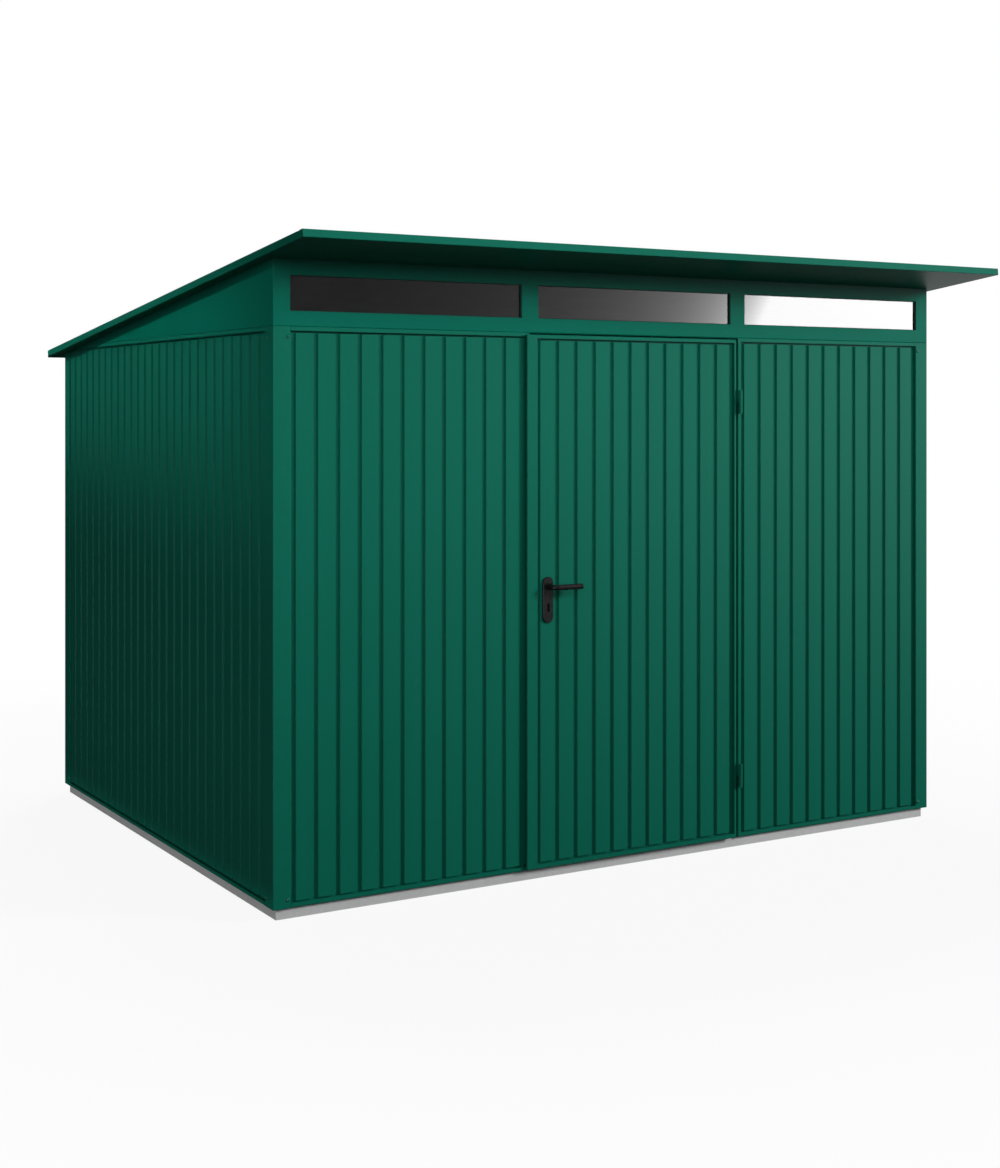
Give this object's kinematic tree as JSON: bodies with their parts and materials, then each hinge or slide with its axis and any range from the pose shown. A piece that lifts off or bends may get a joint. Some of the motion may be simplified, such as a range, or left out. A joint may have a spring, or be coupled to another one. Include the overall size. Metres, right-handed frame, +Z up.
{
  "type": "metal storage shed",
  "caption": "Steel garden shed with ribbed sheet walls, a mono-pitch roof with a deep front overhang, a clerestory window band and a hinged door with a lever handle.",
  "frame": {"origin": "on the ground under the middle of the wall footprint, on the middle floor bearer's underside", "axes": "+X to the right along the front, +Y to the back, +Z up"},
  "size_m": [3.1, 2.7996, 2.3045],
  "materials": {
    "green_frame": "semi-gloss",
    "green_sheet": "semi-gloss",
    "green_roof": "semi-gloss",
    "galvanised": "galvanised",
    "glass": "clear",
    "handle_black": "satin black",
    "lock_steel": "blackened"
  },
  "bodies": {
    "shed": {"corner_post_front_left": "green_frame", "corner_post_front_right": "green_frame", "corner_post_back_left": "green_frame", "corner_post_back_right": "green_frame", "sill_rail_front_left": "green_frame", "sill_rail_front_right": "green_frame", "sill_rail_left": "green_frame", "sill_rail_right": "green_frame", "sill_rail_back": "green_frame", "top_rail_front": "green_frame", "top_rail_left": "green_frame", "top_rail_right": "green_frame", "top_rail_back": "green_frame", "door_jamb_left": "green_frame", "door_jamb_right": "green_frame", "header_panel": "green_frame", "gable_left": "green_frame", "gable_right": "green_frame", "hinge_post_halves": "green_frame", "wall_sheet_front_left": "green_sheet", "wall_sheet_front_right": "green_sheet", "wall_sheet_left": "green_sheet", "wall_sheet_right": "green_sheet", "wall_sheet_back": "green_sheet", "roof_fascia_front": "green_roof", "roof_eave_back": "green_roof", "roof_verge_left": "green_roof", "roof_verge_right": "green_roof", "roof_sheet": "green_roof", "base_rail_front": "galvanised", "base_rail_back": "galvanised", "base_rail_left": "galvanised", "base_rail_right": "galvanised", "floor_bearers": "galvanised", "floor_deck": "galvanised", "roof_purlins": "galvanised", "window_pane_left": "glass", "window_pane_middle": "glass", "window_pane_right": "glass"},
    "door": {"door_frame": "green_frame", "door_sheet": "green_sheet", "hinge_door_halves": "green_frame", "lock_case": "lock_steel", "handle_plate_outer": "handle_black", "handle_plate_inner": "handle_black"},
    "lever": {"lever_pair": "handle_black"}
  },
  "joints": [
    {"name": "door_hinge", "type": "hinge", "parent": "shed", "child": "door", "pos_m": [0.474, -1.203, 0], "axis": [0, 0, 1], "range_deg": [0, 165]},
    {"name": "lever_turn", "type": "hinge", "parent": "door", "child": "lever", "pos_m": [-0.41293, -1.1845, 1.0765], "axis": [0, 1, 0], "range_deg": [0, 40], "stiffness_Nm_per_rad": 2, "springref_deg": -22.92}
  ]
}
